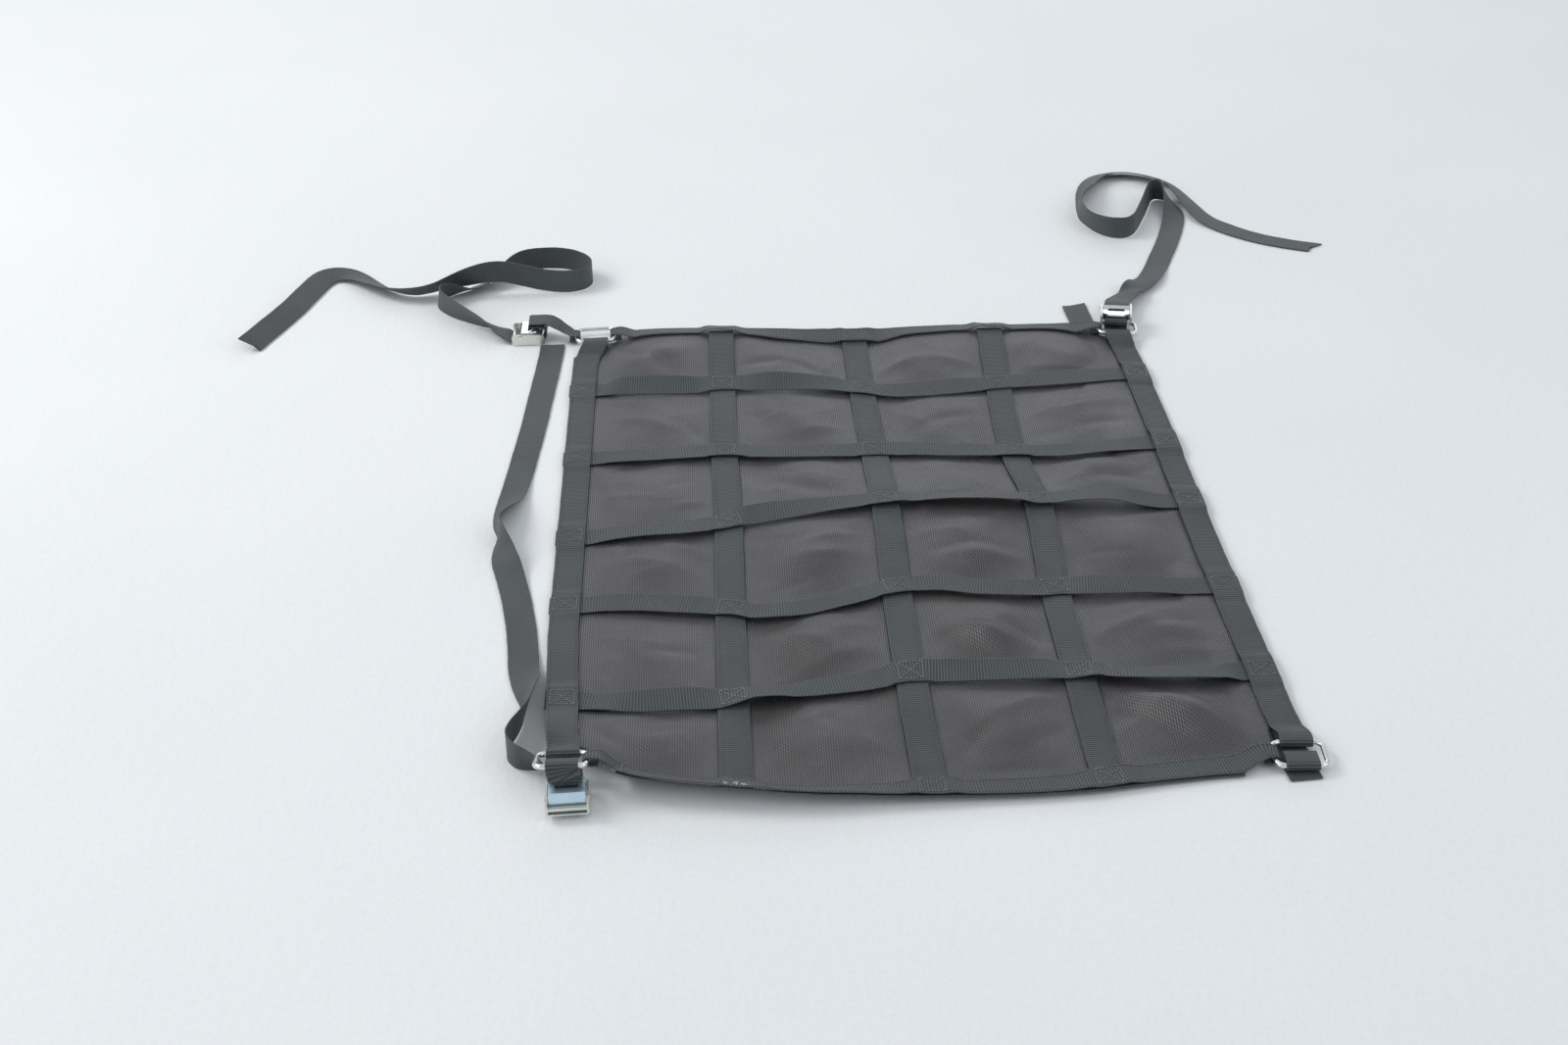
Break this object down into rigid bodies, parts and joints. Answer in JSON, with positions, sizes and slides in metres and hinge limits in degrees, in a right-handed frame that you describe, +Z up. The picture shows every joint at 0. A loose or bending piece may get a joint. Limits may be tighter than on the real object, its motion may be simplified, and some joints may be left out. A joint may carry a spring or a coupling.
{
  "type": "cargo net",
  "caption": "Flat cargo net of coated mesh crossed and edged by sewn flat webbing, with metal corner rings, small cam buckles and loose pull straps.",
  "frame": {"origin": "middle of the footprint without the loose straps, on the surface it lies on", "axes": "+Y along the long side away from the loose mesh edge with the raised near border, +Z up, +X to the right along the short side"},
  "size_m": [1.1749, 1.207, 0.0388],
  "materials": {
    "webbing": "flat woven polypropylene, fine cross ribs, dull sheen",
    "coated_mesh": "vinyl-coated open weave, slight gloss",
    "ring_steel": "bright plated wire",
    "buckle_steel": "zinc plated sheet, satin",
    "lever_steel": "bright plated, lightly worn"
  },
  "bodies": {
    "net": {"mesh_panel": "coated_mesh", "strap_v1": "webbing", "strap_v2": "webbing", "strap_v3": "webbing", "strap_h1": "webbing", "strap_h2": "webbing", "strap_h3": "webbing", "strap_h4": "webbing", "strap_h5": "webbing", "border_top": "webbing", "border_bottom": "webbing", "border_left": "webbing", "border_right": "webbing", "tab_tl": "webbing", "tab_tr": "webbing", "tab_bl": "webbing", "tab_br": "webbing", "ring_tl": "ring_steel", "ring_tr": "ring_steel", "ring_bl": "ring_steel", "ring_br": "ring_steel", "buckle_tl": "buckle_steel", "buckle_tl_pin": "lever_steel", "buckle_tr": "buckle_steel", "buckle_tr_pin": "lever_steel", "buckle_bl": "buckle_steel", "buckle_bl_pin": "lever_steel", "strap_tl": "webbing", "strap_tr": "webbing", "strap_bl": "webbing", "strap_br": "webbing"},
    "lever_tl": {"buckle_tl_lever": "lever_steel"},
    "lever_tr": {"buckle_tr_lever": "lever_steel"},
    "lever_bl": {"buckle_bl_lever": "lever_steel"}
  },
  "joints": [
    {"name": "tl_cam", "type": "hinge", "parent": "net", "child": "lever_tl", "pos_m": [-0.3195, 0.3934, 0.009], "axis": [0, -1, 0], "range_deg": [-14, 0], "stiffness_Nm_per_rad": 0.04, "springref_deg": 9.74},
    {"name": "tr_cam", "type": "hinge", "parent": "net", "child": "lever_tr", "pos_m": [0.29864, 0.37841, 0.0202], "axis": [-0.9842, 0.1771, 0], "range_deg": [0, 14], "stiffness_Nm_per_rad": 0.04, "springref_deg": -9.74},
    {"name": "bl_cam", "type": "hinge", "parent": "net", "child": "lever_bl", "pos_m": [-0.23693, -0.40028, 0.0132], "axis": [0.999, 0.0436, 0], "range_deg": [-14, 0], "stiffness_Nm_per_rad": 0.04, "springref_deg": 9.74}
  ]
}
